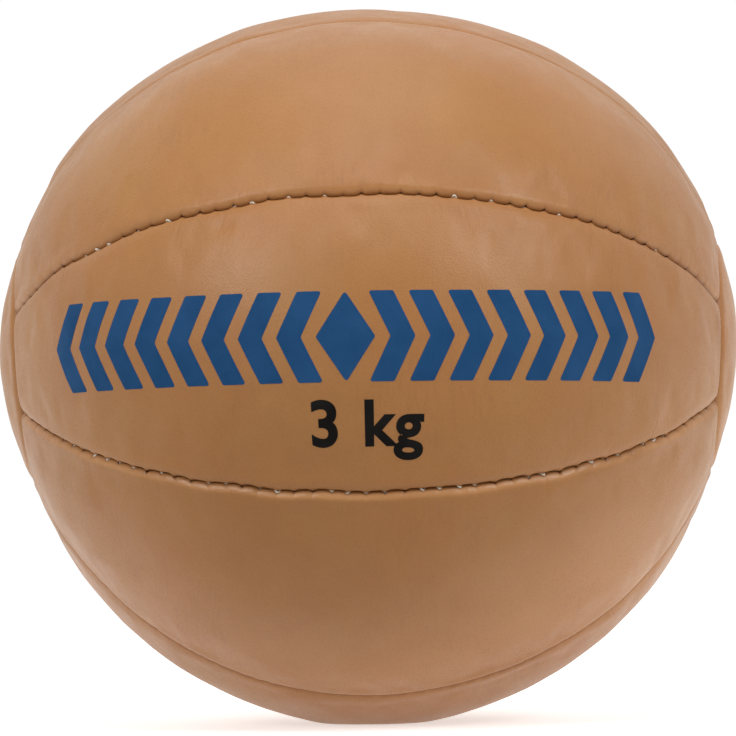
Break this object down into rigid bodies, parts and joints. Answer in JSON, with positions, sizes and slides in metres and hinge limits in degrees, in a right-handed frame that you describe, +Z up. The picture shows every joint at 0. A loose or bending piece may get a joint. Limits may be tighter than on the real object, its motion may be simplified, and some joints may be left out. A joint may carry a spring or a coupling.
{
  "type": "medicine ball",
  "caption": "Heavy stuffed leather exercise ball, sewn from long gores that meet two round end caps, settled a little out of round on a small flat.",
  "frame": {"origin": "on the floor, under the middle of the ball, in the plane of the flat that it rests on", "axes": "+Z up; X runs through the two round end caps, which face -X and +X; the printed middle gore faces -Y, the front"},
  "size_m": [0.2834, 0.28, 0.2754],
  "materials": {
    "leather": "natural tan full-grain cowhide, fine grain, soft satin",
    "lining": "unbleached woven cotton, matt",
    "seam_thread": "waxed off-white sewing thread",
    "closing_thread": "waxed hand-sewing thread",
    "stuffing": "packed textile and hair filling, matt, mottled",
    "ink_blue": "dark blue screen print, matt",
    "ink_black": "black screen print, matt"
  },
  "bodies": {
    "root": {"leather_gore_front": "leather", "leather_gore_front_upper": "leather", "leather_gore_top": "leather", "leather_gore_rear_upper": "leather", "leather_gore_rear": "leather", "leather_gore_rear_lower": "leather", "leather_gore_bottom": "leather", "leather_gore_front_lower": "leather", "leather_cap_left": "leather", "leather_cap_right": "leather", "lining_gore_front": "lining", "lining_gore_front_upper": "lining", "lining_gore_top": "lining", "lining_gore_rear_upper": "lining", "lining_gore_rear": "lining", "lining_gore_rear_lower": "lining", "lining_gore_bottom": "lining", "lining_gore_front_lower": "lining", "lining_cap_left": "lining", "lining_cap_right": "lining", "seam_thread_front_high": "seam_thread", "seam_thread_upper_front": "seam_thread", "seam_thread_upper_rear": "seam_thread", "seam_thread_rear_high": "seam_thread", "seam_thread_rear_low_left": "seam_thread", "seam_thread_rear_low_right": "seam_thread", "seam_thread_lower_rear": "seam_thread", "seam_thread_lower_front": "seam_thread", "seam_thread_front_low": "seam_thread", "cap_thread_left": "seam_thread", "cap_thread_right": "seam_thread", "closing_thread": "closing_thread", "stuffing_core": "stuffing"}
  },
  "joints": []
}
